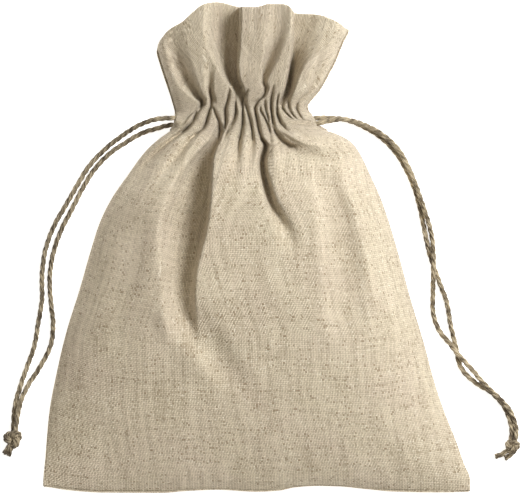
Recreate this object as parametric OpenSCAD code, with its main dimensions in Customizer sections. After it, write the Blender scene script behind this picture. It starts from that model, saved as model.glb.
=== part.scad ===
// Drawstring gift pouch in unbleached linen, lying on its back with the mouth gathered shut.
// +Y runs from the bottom seam to the mouth, +Z up from the surface, millimetres.

/* [Pouch] */
// Width of the sewn pouch along its bottom seam
pouch_w = 154; // [140:1:168]
// Thickness of one layer of linen
cloth_t = 1; // [0.8:0.1:1.2]
// Height of the puffed front above its own edge
puff_h = 27; // [18:1:30]
// Width of the seam allowance inside the pouch
seam_w = 7.5; // [5:0.5:9]

/* [Neck] */
// Width of the gathered neck
neck_w = 47.5; // [44:0.5:50]
// Height of the free passage through the neck
passage_h = 4.5; // [4.2:0.1:4.8]
// Wall between the passage and the cord tunnel
inner_wall = 1; // [0.8:0.1:1.2]
// Clear height of the cord tunnel
tunnel_h = 2.6; // [2.5:0.1:2.8]
// Wall outside the cord tunnel
outer_wall = 1.15; // [1:0.05:1.4]

/* [Header] */
// Depth of the open flutes in the front header
flute_h = 4.5; // [2:0.5:6]
// Number of flutes across the header
flutes = 4; // [3:1:5]

/* [Cord] */
// Diameter of the twisted hemp cord
cord_d = 2; // [1.8:0.1:2]
// Width of a knot
knot_w = 6; // [5:0.5:6.5]
// How far each cord pulls out of the channel
draw_travel = 12; // [8:1:12]

/* [Hidden] */

linen = [0.80, 0.74, 0.65];
linen_inside = [0.70, 0.63, 0.53];
thread = [0.86, 0.82, 0.73];
hemp = [0.52, 0.46, 0.33];
hemp_dark = [0.44, 0.38, 0.26];

gap = 0.1; // between layers that lie on each other
neck_x = -5.75; // the neck stands a little left of the middle
neck_y = [41.2, 49.6]; // lower and upper edge of the cord channel
tunnel_y = [42.35, 47.25]; // the tunnel between the two stitch rows
header_y = 50; // lowest edge of the header
mouth_y = 88.4; // highest point of the header
bottom_y = -88.4; // lowest point of the bottom seam

back_t = 0.8; // the back panel is pressed flat
allowance_t = 0.8;
seam_z = back_t + gap; // seam allowances lie on the back panel
front_z = seam_z + allowance_t + gap; // the front panel's lower edge

passage_r = passage_h / 2;
tunnel_in = passage_r + inner_wall;
tunnel_out = tunnel_in + tunnel_h;
neck_r = tunnel_out + outer_wall;
run_z = tunnel_in + tunnel_h / 2; // a cord's height above or below the neck's axis
neck_straight = neck_w - 2 * neck_r;
upper_run_y = 46;
lower_run_y = 43.6;

lead_in = draw_travel + 2.4; // how far a lead reaches into the tunnel
lead_out = 0.1; // and how far it stands out of it
lead_slack = 1.2; // between a lead's inner end and the loop it continues
neck_left = neck_x - neck_w / 2;
neck_right = neck_x + neck_w / 2;
tube_sides = 8;
turn_steps = 5; // stretches in a cord's turn at the far side seam

panel_top = neck_y[0] - 0.2; // the panels end just below the channel
panel_inset = 1.2; // the front panel's lower surface stands this far inside its edge
seam_inset = 0.8; // seam allowances start this far inside the sewn edge
side_seam_top = 38;
bottom_seam_reach = 65; // the bottom allowance ends clear of the side allowances
header_span = [-35.2, 32.6]; // the header's width at its top corners
back_header_drop = 0.8; // the back header's edge lies this much lower than the front's
header_slit = 0.3; // half the gap between the two headers at the sides
header_seam_t = 0.4; // the pressed seam between them
header_seam_lift = 0.4; // starts this far above the header's foot
flute_start = 3; // the flutes open this far above the header's foot
flute_rise = 24; // and reach their full depth over this length

// Sewn outline, as [y, x] down each side and [x, y] along the bottom.
left_side = [[-86, -pouch_w / 2], [-70, -75.8], [-52, -73.2], [-35, -70], [-18, -64.6], [0, -59.6],
    [12, -54.6], [25, -47], [34, -41], [38.4, -36.4], [41, -30.2]];
right_side = [[-86, pouch_w / 2], [-70, 71.8], [-52, 65], [-35, 60.4], [-18, 55.2], [0, 50.4],
    [17, 44.8], [30, 39], [35, 36.4], [38.4, 32.4], [41, 19]];
bottom_line = [[-pouch_w / 2, -86.4], [-68, -87.6], [-50, bottom_y], [-32, bottom_y], [-16, -87.4],
    [0, -88], [18, -86.2], [28, -86], [43, -87.4], [60, -88.2], [pouch_w / 2, -88.2]];
// Height of the front at its middle, as a share of puff_h, by y.
puff_line = [[bottom_y, 0.02], [-80, 0.28], [-60, 0.6], [-30, 0.9], [0, 1], [20, 0.96],
    [33, 0.75], [41, 0.4]];

// Header outline: its two sides as [y, x] and its rolled top edge as [x, y].
header_left = [[header_y, -29.8], [60, -33.4], [70, -35.8], [75, -35.2]];
header_right = [[header_y, 18.2], [56, 22.4], [64, 27], [72, 30.4], [78, 32.6]];
header_top = [[-35.2, 75], [-33, 77.6], [-27.5, 80], [-23, 84.6], [-20.5, 87.2], [-16.5, mouth_y],
    [-9, 87.2], [-4, 86.4], [6, 87.4], [11.6, 86.8], [13.2, 84], [23, 82.8], [29, 81], [32.6, 78]];

// Routes of the four free strands, from beside the neck to the knot.
left_front_route = [[-31.2, 46, 11.6], [-36, 45.6, 10.8], [-42, 43.6, 7.4], [-48, 40, 3], [-54, 35.4, 1],
    [-60, 29.2, 1], [-64.5, 22, 1], [-68.5, 15, 1], [-73, 7, 1], [-76, -1.5, 1], [-77.2, -10.5, 1],
    [-77.2, -19, 1], [-78.6, -28, 1], [-80, -36, 1], [-82.8, -44, 1], [-85.2, -51, 1], [-87, -58, 1],
    [-87.6, -66.6, 1.2]];
left_back_route = [[-31.2, 43.6, 2.4], [-36, 42.4, 2.2], [-41.5, 40.6, 1.4], [-47, 37.4, 1],
    [-52.6, 33.6, 1], [-58.2, 27.8, 1], [-62.6, 20.8, 1], [-66.4, 13.4, 1], [-70.2, 6, 1], [-73, -2, 1],
    [-74.4, -11, 1], [-74, -20, 1], [-73.2, -28, 1], [-74.2, -36, 1], [-78.4, -44.2, 1],
    [-82.2, -50, 1.4], [-85, -56.5, 2.6], [-86.8, -66.6, 3.4]];
right_back_route = [[19.6, 46, 2.4], [25, 46.2, 2.2], [32, 45.6, 1.4], [38.6, 43, 1], [45, 39, 1],
    [50.2, 33.6, 1], [54.2, 27, 1], [57, 20.4, 1], [59, 13, 1], [60.6, 5, 1], [62.4, -3, 1],
    [65.6, -12.4, 1], [68.4, -20, 1], [69.8, -28, 1], [71.6, -35.6, 1], [73.6, -43.6, 1], [78.4, -49, 1],
    [84.4, -53, 1], [89, -58.6, 1], [91.4, -65.4, 1], [91.8, -69.6, 1.2]];
right_front_route = [[19.6, 43.6, 11.6], [25, 44.8, 11.2], [31.5, 45.8, 8.6], [38.5, 44.2, 5],
    [45.4, 40.6, 2.7], [51, 34.8, 2.7], [55, 27.6, 2.9], [57.8, 20.6, 3], [60.4, 13, 2.8], [62.8, 5, 1.4],
    [63.6, -2.5, 2.8], [63.6, -9, 3.2], [63.5, -17, 1.3], [63.6, -24, 1], [65.6, -30, 1], [69, -34.4, 2.2],
    [73, -39.4, 3.2], [77.2, -44, 3], [82, -49.6, 2.8], [86.6, -54, 3], [91.4, -58.4, 1.8],
    [93.8, -65, 1.2], [93.6, -69.6, 2.6]];

left_knot_at = [-87.6, -69.4, 2.8];
right_knot_at = [92.2, -72.2, 2.8];
left_tail_routes = [[[-88.4, -71.2, 2.4], [-89.8, -73.4, 1.6], [-90.6, -75.4, 1]],
    [[-86.4, -71.2, 2.6], [-87.6, -73.8, 1.6], [-88.2, -75.4, 1]]];
right_tail_routes = [[[91, -73.8, 2.6], [88.4, -75, 1.6], [85.8, -76.6, 1]],
    [[92.4, -74, 2.4], [91.8, -76, 1.6], [90.6, -78, 1]]];

stitch_l = 2.2;
stitch_pitch = 3.2;
stitch_w = 0.5;
stitch_h = 0.35;
stitch_inset = 5; // seam stitches run this far inside the sewn edge
stitch_rows_y = [41.8, 48.4]; // the channel's two rows
side_stitches_y = [-78, 34];
bottom_stitches_x = [-56, 56];
groove = 0.5; // the back channel's stitches lie in grooves this deep

// ---- shapes shared by several sub-parts ----

function mix(a, b, t) = a + (b - a) * t;
function grid(point, nu, nv) = [for (j = [0:nv]) for (i = [0:nu]) point(i / nu, j / nv)];
function side_x(side, y) = lookup(y, side);
function dome(u) = pow(max(0, 1 - pow(2 * u - 1, 2)), 0.65);
function stadium_height(u) = sqrt(max(0, 1 - pow(2 * u - 1, 4)));

// A sheet with an upper and a lower surface, each a point function of u and v, closed round its rim.
module shell(upper, lower, nu, nv) {
    across = nu + 1;
    half = across * (nv + 1);
    cells = [for (j = [0:nv - 1]) for (i = [0:nu - 1]) j * across + i];
    rim = concat(
        [for (i = [0:nu - 1]) i],
        [for (j = [0:nv - 1]) j * across + nu],
        [for (i = [nu:-1:1]) nv * across + i],
        [for (j = [nv:-1:1]) j * across]
    );
    rim_n = len(rim);
    faces = concat(
        [for (c = cells) [c, c + across, c + 1]],
        [for (c = cells) [c + 1, c + across, c + across + 1]],
        [for (c = cells) [half + c, half + c + 1, half + c + across]],
        [for (c = cells) [half + c + 1, half + c + across + 1, half + c + across]],
        [for (k = [0:rim_n - 1]) [rim[k], rim[(k + 1) % rim_n], half + rim[k]]],
        [for (k = [0:rim_n - 1]) [rim[(k + 1) % rim_n], half + rim[(k + 1) % rim_n], half + rim[k]]]
    );
    polyhedron(points = concat(grid(upper, nu, nv), grid(lower, nu, nv)), faces = faces, convexity = 8);
}

// A round tube swept along a route, one ring to each route point.
function unit(v) = v / norm(v);
function heading(route, k) = unit(route[min(k + 1, len(route) - 1)] - route[max(k - 1, 0)]);
function ring(centre, ahead, r) =
    let (side = unit(cross(ahead, [0, 0, 1])), up = cross(side, ahead))
    [for (s = [0:tube_sides - 1])
        centre + r * (side * cos(360 * s / tube_sides) + up * sin(360 * s / tube_sides))];

module tube(route, r = cord_d / 2) {
    last = len(route) - 1;
    rings = [for (k = [0:last]) ring(route[k], heading(route, k), r)];
    walls = [for (k = [0:last - 1]) for (s = [0:tube_sides - 1])
        let (a = k * tube_sides + s, b = k * tube_sides + (s + 1) % tube_sides)
        [a, b, b + tube_sides, a + tube_sides]];
    caps = [
        [for (s = [tube_sides - 1:-1:0]) s],
        [for (s = [0:tube_sides - 1]) last * tube_sides + s]
    ];
    polyhedron(points = [for (corners = rings) each corners], faces = concat(walls, caps), convexity = 8);
}

// ---- pouch ----

function panel_point(u, v, inset, rise, puff) =
    let (
        foot = lookup(mix(-pouch_w / 2, pouch_w / 2, u), bottom_line) + inset,
        y = mix(foot, panel_top, v),
        x = mix(side_x(left_side, y) + inset, side_x(right_side, y) - inset, u)
    )
    [x, y, front_z + dome(u) * (rise + puff * lookup(y, puff_line))];

module front_panel() {
    color(linen)
    shell(
        function(u, v) panel_point(u, v, 0, cloth_t, puff_h),
        function(u, v) panel_point(u, v, panel_inset * (v < 1 ? 1 : 0.4), 0, puff_h),
        28, 22
    );
}

module pouch_outline() {
    polygon(concat(
        bottom_line,
        [for (s = right_side) [s[1], s[0]]],
        [for (k = [len(left_side) - 1:-1:0]) [left_side[k][1], left_side[k][0]]]
    ));
}

module back_panel() {
    color(linen_inside) linear_extrude(back_t) pouch_outline();
}

// A strip that follows one side from a depth of near to a depth of far inside the sewn edge.
module side_strip(side, inward, near, far) {
    rows = [for (s = side) if (s[0] < side_seam_top) s];
    polygon(concat(
        [for (s = rows) [s[1] + inward * near, s[0]]],
        [for (k = [len(rows) - 1:-1:0]) [rows[k][1] + inward * far, rows[k][0]]]
    ));
}

module side_seam(side, inward) {
    color(linen_inside) translate([0, 0, seam_z]) linear_extrude(allowance_t)
        side_strip(side, inward, seam_inset, seam_w);
}

module left_side_seam() side_seam(left_side, 1);
module right_side_seam() side_seam(right_side, -1);

module bottom_seam() {
    inner = [for (p = bottom_line) if (abs(p[0]) < bottom_seam_reach) p];
    color(linen_inside) translate([0, 0, seam_z]) linear_extrude(allowance_t) polygon(concat(
        [for (p = inner) [p[0], p[1] + seam_inset]],
        [for (k = [len(inner) - 1:-1:0]) [inner[k][0], inner[k][1] + seam_w]]
    ));
}

// One straight stitch that lies along the heading angle on top of a surface at height z.
module stitch(at, angle, z) {
    translate([at[0], at[1], z]) rotate([0, 0, angle]) translate([-stitch_l / 2, -stitch_w / 2, 0])
        cube([stitch_l, stitch_w, stitch_h]);
}

module side_stitches(side, inward) {
    color(thread) for (y = [side_stitches_y[0]:stitch_pitch * 2:side_stitches_y[1]]) {
        here = side_x(side, y);
        slope = atan2(2, side_x(side, y + 1) - side_x(side, y - 1));
        stitch([here + inward * stitch_inset, y], slope, seam_z + allowance_t);
    }
}

module left_seam_stitches() side_stitches(left_side, 1);
module right_seam_stitches() side_stitches(right_side, -1);

module bottom_seam_stitches() {
    color(thread) for (x = [bottom_stitches_x[0]:stitch_pitch * 2:bottom_stitches_x[1]]) {
        slope = atan2(lookup(x + 1, bottom_line) - lookup(x - 1, bottom_line), 2);
        stitch([x, lookup(x, bottom_line) + stitch_inset], slope, seam_z + allowance_t);
    }
}

// ---- channel round the neck ----

module stadium(r) {
    square([neck_straight, 2 * r], center = true);
    for (side = [-1, 1]) translate([side * neck_straight / 2, 0]) circle(r, $fn = 48);
}

// Stands a flat XZ shape up at the neck's axis and gives it a depth along Y.
module at_neck(from_y, to_y) {
    translate([neck_x, to_y, neck_r]) rotate([90, 0, 0]) linear_extrude(to_y - from_y) children();
}

// Half of the channel, on the side of the neck's axis that half says, 1 for the front.
module channel_half(half) {
    deep = neck_r + 1;
    difference() {
        at_neck(neck_y[0], neck_y[1]) intersection() {
            difference() {
                stadium(neck_r);
                stadium(passage_r);
            }
            translate([-neck_w, half > 0 ? gap / 2 : -deep]) square([2 * neck_w, deep - gap / 2]);
        }
        // the tunnel is open at both side seams, where the cords leave
        at_neck(tunnel_y[0], tunnel_y[1]) difference() {
            square([neck_w + 2, 2 * tunnel_out], center = true);
            stadium(tunnel_in);
        }
        if (half < 0) for (y = stitch_rows_y)
            translate([neck_x - neck_straight / 2, y - stitch_w, -1])
                cube([neck_straight, 2 * stitch_w, 1 + groove]);
    }
}

module front_channel() color(linen) channel_half(1);
module back_channel() color(linen_inside) channel_half(-1);

module channel_stitches(y, z) {
    reach = neck_straight / 2 - stitch_l;
    color(thread) for (x = [-reach:stitch_pitch:reach]) stitch([neck_x + x, y], 0, z);
}

module front_channel_lower_stitches() channel_stitches(stitch_rows_y[0], 2 * neck_r);
module front_channel_upper_stitches() channel_stitches(stitch_rows_y[1], 2 * neck_r);
module back_channel_lower_stitches() channel_stitches(stitch_rows_y[0], groove - stitch_h);
module back_channel_upper_stitches() channel_stitches(stitch_rows_y[1], groove - stitch_h);

// ---- header above the channel ----

function flute_wave(x, y) =
    flute_h * (1 - cos(360 * flutes * (x - header_span[0]) / (header_span[1] - header_span[0]))) / 2
    * min(1, max(0, (y - header_y - flute_start) / flute_rise));

// half is 1 for the front layers and -1 for the back ones, depth is how far inside the outer face.
function header_point(u, v, half, inset, depth) =
    let (
        edge = lookup(mix(header_span[0], header_span[1], u), header_top),
        top = edge - (half > 0 ? 0 : back_header_drop) - inset / 2,
        y = mix(header_y + inset / 4, top, v),
        x = mix(side_x(header_left, y) + inset, side_x(header_right, y) - inset, u),
        wave = half > 0 ? flute_wave(x, y) : 0
    )
    [x, y, neck_r + half * (header_slit + stadium_height(u) * (neck_r - header_slit - depth + wave))];

module header_layer(half, near, far) {
    outer = function(u, v) header_point(u, v, half, near, near);
    inner = function(u, v) header_point(u, v, half, far, far);
    if (half > 0) shell(outer, inner, 40, 12);
    else shell(inner, outer, 24, 8);
}

module front_header() color(linen) header_layer(1, 0, cloth_t);
module back_header() color(linen_inside) header_layer(-1, 0, cloth_t);
module front_facing() color(linen_inside) header_layer(1, cloth_t + 0.15, 2 * cloth_t + 0.15);
module back_facing() color(linen_inside) header_layer(-1, cloth_t + 0.15, 2 * cloth_t + 0.15);

module header_seam(side, inward) {
    color(linen_inside) translate([0, 0, neck_r - header_seam_t / 2]) linear_extrude(header_seam_t) polygon(concat(
        [for (s = side) [s[1] + inward * seam_inset, s[0] + header_seam_lift]],
        [for (k = [len(side) - 1:-1:0]) [side[k][1] + inward * seam_w / 2, side[k][0] + header_seam_lift]]
    ));
}

module left_header_seam() header_seam(header_left, 1);
module right_header_seam() header_seam(header_right, -1);

// ---- cords ----

module run(from_x, to_x, y, z) {
    translate([from_x, y, z]) rotate([0, 90, 0]) cylinder(d = cord_d, h = to_x - from_x, $fn = 32);
}

// A point of a cord's turn inside the channel, t from 0 at the front to 1 at the back.
// side is the side that the cord's ends leave from, -1 for the left.
function turn_point(side, front_y, back_y, t) = [
    neck_x - side * (neck_straight + norm([front_y - back_y, 2 * run_z]) * sin(180 * t)) / 2,
    mix(front_y, back_y, (1 - cos(180 * t)) / 2),
    neck_r + run_z * cos(180 * t)
];

// The stretch that stays in the channel: a front run, the turn at the far side and a back run.
module cord_loop(side, front_y, back_y) {
    near = neck_x + side * (neck_w / 2 - lead_in - lead_slack);
    tube(concat(
        [[near, front_y, neck_r + run_z]],
        [for (k = [0:turn_steps]) turn_point(side, front_y, back_y, k / turn_steps)],
        [[near, back_y, neck_r - run_z]]
    ));
}

module left_cord_loop() color(hemp) cord_loop(-1, upper_run_y, lower_run_y);
module right_cord_loop() color(hemp) cord_loop(1, lower_run_y, upper_run_y);

module left_lead(y, z) run(neck_left - lead_out, neck_left - lead_out + lead_in, y, z);
module right_lead(y, z) run(neck_right + lead_out - lead_in, neck_right + lead_out, y, z);

module left_cord_front_lead() color(hemp) left_lead(upper_run_y, neck_r + run_z);
module left_cord_back_lead() color(hemp) left_lead(lower_run_y, neck_r - run_z);
module right_cord_front_lead() color(hemp) right_lead(lower_run_y, neck_r + run_z);
module right_cord_back_lead() color(hemp) right_lead(upper_run_y, neck_r - run_z);

module left_cord_front_strand() color(hemp) tube(left_front_route);
module left_cord_back_strand() color(hemp) tube(left_back_route);
module right_cord_front_strand() color(hemp) tube(right_front_route);
module right_cord_back_strand() color(hemp) tube(right_back_route);

// An overhand knot's outer shape: a round body with a ridge wrapped over it.
module knot(at, angle) {
    translate(at) rotate([0, 0, angle]) {
        sphere(d = knot_w * 0.9, $fn = 32);
        rotate([0, 70, 0]) rotate_extrude($fn = 40) translate([knot_w * 0.32, 0]) circle(d = cord_d, $fn = 24);
    }
}

module left_knot() color(hemp_dark) knot(left_knot_at, 70);
module right_knot() color(hemp_dark) knot(right_knot_at, 100);

module left_cord_tails() color(hemp) for (route = left_tail_routes) tube(route);
module right_cord_tails() color(hemp) for (route = right_tail_routes) tube(route);

back_panel();
front_panel();
left_side_seam();
right_side_seam();
bottom_seam();
left_seam_stitches();
right_seam_stitches();
bottom_seam_stitches();
back_channel();
front_channel();
front_channel_upper_stitches();
front_channel_lower_stitches();
back_channel_upper_stitches();
back_channel_lower_stitches();
back_header();
front_header();
back_facing();
front_facing();
left_header_seam();
right_header_seam();
left_cord_loop();
right_cord_loop();
left_cord_front_lead();
left_cord_back_lead();
left_cord_front_strand();
left_cord_back_strand();
left_knot();
left_cord_tails();
right_cord_front_lead();
right_cord_back_lead();
right_cord_front_strand();
right_cord_back_strand();
right_knot();
right_cord_tails();
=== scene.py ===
import math
import bpy
import numpy as np
from mathutils import Matrix, Vector, noise


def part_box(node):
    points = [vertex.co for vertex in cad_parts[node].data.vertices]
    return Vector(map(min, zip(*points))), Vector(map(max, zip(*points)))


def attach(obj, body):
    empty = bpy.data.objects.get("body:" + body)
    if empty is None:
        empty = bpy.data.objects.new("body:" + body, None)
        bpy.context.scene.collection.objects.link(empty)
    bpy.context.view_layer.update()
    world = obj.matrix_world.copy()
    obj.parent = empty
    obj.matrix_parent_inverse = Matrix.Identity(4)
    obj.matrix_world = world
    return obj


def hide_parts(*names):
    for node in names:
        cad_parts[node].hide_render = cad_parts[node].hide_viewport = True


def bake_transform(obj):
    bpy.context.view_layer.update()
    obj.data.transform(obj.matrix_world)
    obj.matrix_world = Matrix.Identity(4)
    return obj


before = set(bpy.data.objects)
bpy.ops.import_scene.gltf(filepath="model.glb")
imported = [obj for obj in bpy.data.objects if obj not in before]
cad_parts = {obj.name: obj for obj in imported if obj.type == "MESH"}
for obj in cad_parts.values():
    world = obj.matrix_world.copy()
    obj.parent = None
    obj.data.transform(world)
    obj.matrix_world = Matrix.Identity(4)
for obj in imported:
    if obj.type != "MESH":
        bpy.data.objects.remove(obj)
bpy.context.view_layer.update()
bpy.ops.object.select_all(action="DESELECT")
mm = 0.001
print("frame loaded:", len(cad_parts), "nodes")


# helpers for lists of stations and for meshes
def smooth(stations, at, column=1):
    # value at "at" from given stations (key first), without overshoot between them
    table = np.array(sorted(s[:1] + (s[column],) for s in stations), float)
    keys, values = table[:, 0], table[:, 1]
    steps = np.diff(keys)
    slopes = np.diff(values) / steps
    tangents = np.zeros(len(keys))
    same = slopes[:-1] * slopes[1:] > 0
    tangents[1:-1][same] = 2 * slopes[:-1][same] * slopes[1:][same] / (slopes[:-1] + slopes[1:])[same]
    at = np.clip(at, keys[0], keys[-1])
    i = np.clip(np.searchsorted(keys, at, side="right") - 1, 0, len(keys) - 2)
    t = (at - keys[i]) / steps[i]
    return ((2 * t**3 - 3 * t**2 + 1) * values[i] + (t**3 - 2 * t**2 + t) * steps[i] * tangents[i]
            + (3 * t**2 - 2 * t**3) * values[i + 1] + (t**3 - t**2) * steps[i] * tangents[i + 1])


def curvedRoute(points, spacing):
    # a smooth line through the route's points, then even steps along it
    p = np.array(points, float)
    p = np.vstack([2 * p[0] - p[1], p, 2 * p[-1] - p[-2]])
    fine = []
    for k in range(1, len(p) - 2):
        for t in np.linspace(0, 1, 24, endpoint=False):
            fine.append(0.5 * (2 * p[k] + (p[k + 1] - p[k - 1]) * t
                               + (2 * p[k - 1] - 5 * p[k] + 4 * p[k + 1] - p[k + 2]) * t**2
                               + (3 * p[k] - p[k - 1] - 3 * p[k + 1] + p[k + 2]) * t**3))
    fine.append(p[-2])
    fine = np.array(fine)
    walked = np.concatenate([[0], np.cumsum(np.linalg.norm(np.diff(fine, axis=0), axis=1))])
    count = max(3, int(round(walked[-1] / spacing)) + 1)
    even = np.linspace(0, walked[-1], count)
    return np.stack([np.interp(even, walked, fine[:, a]) for a in range(3)], axis=1)


def routeLength(points):
    return float(np.linalg.norm(np.diff(points, axis=0), axis=1).sum())


def meshPiece(name, points, faces, uvs=None, material=None):
    # points in mm; uvs is one pair for each point, in metres of cloth or cord
    mesh = bpy.data.meshes.new(name)
    mesh.from_pydata((np.asarray(points) * mm).tolist(), [], [tuple(map(int, f)) for f in faces])
    mesh.update()
    if uvs is not None:
        layer = mesh.uv_layers.new(name="weave")
        corner = np.zeros(len(mesh.loops), np.int32)
        mesh.loops.foreach_get("vertex_index", corner)
        layer.data.foreach_set("uv", np.asarray(uvs, np.float32)[corner].ravel())
    mesh.polygons.foreach_set("use_smooth", np.ones(len(mesh.polygons), bool))
    piece = bpy.data.objects.new(name, mesh)
    bpy.context.scene.collection.objects.link(piece)
    if material:
        mesh.materials.append(material)
    return piece


def frames(line):
    # heading and two steady side directions along a line
    ahead = np.gradient(line, axis=0)
    ahead /= np.linalg.norm(ahead, axis=1)[:, None]
    side = np.cross(ahead[0], [0, 0, 1.0])
    if np.linalg.norm(side) < 0.1:
        side = np.cross(ahead[0], [0, 1.0, 0])
    sides = []
    for a in ahead:
        side = side - a * np.dot(side, a)
        side /= np.linalg.norm(side)
        sides.append(side.copy())
    sides = np.array(sides)
    return ahead, sides, np.cross(sides, ahead)


def tubeParts(line, radii, sides, first=0):
    # rings along a line with closed ends: points, faces and uvs (length along, distance round)
    ahead, right, up = frames(line)
    radii = np.broadcast_to(radii, len(line))
    angles = np.linspace(0, 2 * math.pi, sides, endpoint=False)
    around = np.cos(angles)[None, :, None] * right[:, None] + np.sin(angles)[None, :, None] * up[:, None]
    points = (line[:, None] + around * radii[:, None, None]).reshape(-1, 3)
    walked = np.concatenate([[0], np.cumsum(np.linalg.norm(np.diff(line, axis=0), axis=1))])
    uvs = np.stack([np.repeat(walked, sides), np.tile(angles, len(line)) * np.mean(radii)], axis=1) * mm
    faces = []
    for k in range(len(line) - 1):
        for s in range(sides):
            a, b = k * sides + s, k * sides + (s + 1) % sides
            faces.append((first + a, first + b, first + b + sides, first + a + sides))
    last = (len(line) - 1) * sides
    faces.append(tuple(first + s for s in range(sides - 1, -1, -1)))
    faces.append(tuple(first + last + s for s in range(sides)))
    return points, faces, uvs


def joined(parts):
    # several (points, faces, uvs) as one
    points, faces, uvs, first = [], [], [], 0
    for p, f, u in parts:
        points.append(p)
        uvs.append(u)
        faces += [tuple(i + first for i in face) for face in f]
        first += len(p)
    return np.vstack(points), faces, np.vstack(uvs)


# materials
class Wire:
    # one output socket that can be used in sums
    def __init__(self, graph, socket):
        self.graph, self.socket = graph, socket

    def __add__(self, other):
        return self.graph.sum("ADD", self, other)

    def __sub__(self, other):
        return self.graph.sum("SUBTRACT", self, other)

    def __rsub__(self, other):
        return self.graph.sum("SUBTRACT", other, self)

    def __mul__(self, other):
        return self.graph.sum("MULTIPLY", self, other)

    def __truediv__(self, other):
        return self.graph.sum("DIVIDE", self, other)

    __radd__ = __add__
    __rmul__ = __mul__


class Finish:
    # a material and its node tree
    def __init__(self, name, **shader):
        self.material = bpy.data.materials.new(name)
        self.material.use_nodes = True
        self.tree = self.material.node_tree
        self.shader = self.tree.nodes["Principled BSDF"]
        for socket, value in shader.items():
            self.shader.inputs[socket.replace("_", " ")].default_value = value

    def node(self, kind, settings=None, inputs=None, out=0):
        made = self.tree.nodes.new("ShaderNode" + kind)
        for key, value in (settings or {}).items():
            if key == "stops":
                for stop, (place, colour) in zip(made.color_ramp.elements, value[:2]):
                    stop.position, stop.color = place, colour
                for place, colour in value[2:]:
                    made.color_ramp.elements.new(place).color = colour
            else:
                setattr(made, key, value)
        for key, value in (inputs or {}).items():
            self.put(made.inputs[key], value)
        return Wire(self, made.outputs[out])

    def put(self, socket, value):
        if isinstance(value, Wire):
            self.tree.links.new(value.socket, socket)
        else:
            socket.default_value = value

    def sum(self, operation, *values):
        return self.node("Math", {"operation": operation}, dict(enumerate(values)))

    def mix(self, share, a, b):
        return self.node("Mix", {"data_type": "RGBA"}, {0: share, 6: a, 7: b}, out=2)

    def times(self, a, b, share):
        return self.node("Mix", {"data_type": "RGBA", "blend_type": "MULTIPLY"},
                         {0: share, 6: a, 7: b}, out=2)

    def noise(self, place, scale, detail):
        return self.node("TexNoise", None, {"Vector": place, "Scale": scale, "Detail": detail}, out=0)

    def vector(self, x, y, z=0.0):
        return self.node("CombineXYZ", None, {0: x, 1: y, 2: z})

    def feed(self, socket, value):
        self.put(self.shader.inputs[socket], value)


# scales a colour to paint shade or light onto it
def withPaintedLight(colour, paintedLight):
    return tuple(c * paintedLight for c in colour[:3]) + (1,)


linenLook = {
    "warpPitch": 0.00058, "weftPitch": 0.00070,   # metres from thread to thread
    "light": (0.755, 0.672, 0.520, 1), "dark": (0.405, 0.330, 0.225, 1),
    "fleck": (0.290, 0.215, 0.130, 1), "bleached": (0.84, 0.78, 0.66, 1),
    "tint": (0.965, 0.945, 0.965, 1),
    "roughness": 0.88, "bumpDepth": 0.00022,
    # scales across and along the cloth
    "streakScale": (480.0, 40.0), "barScale": (40.0, 500.0), "huskScale": (2500.0, 1900.0),
    # how much each irregularity shifts the tone from dark to light; the gaps and warp weights also darken
    # thread edges against their crowns, and the pore weight darkens the holes between threads, as painted
    # shade
    "tone": 1.8, "cell": 0.9, "gaps": 0.45, "warp": 0.85, "streak": 1.4, "bar": 0.6, "cloud": 0.35,
    "poreShade": 2.8, "base": 0.67,
}


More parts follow.
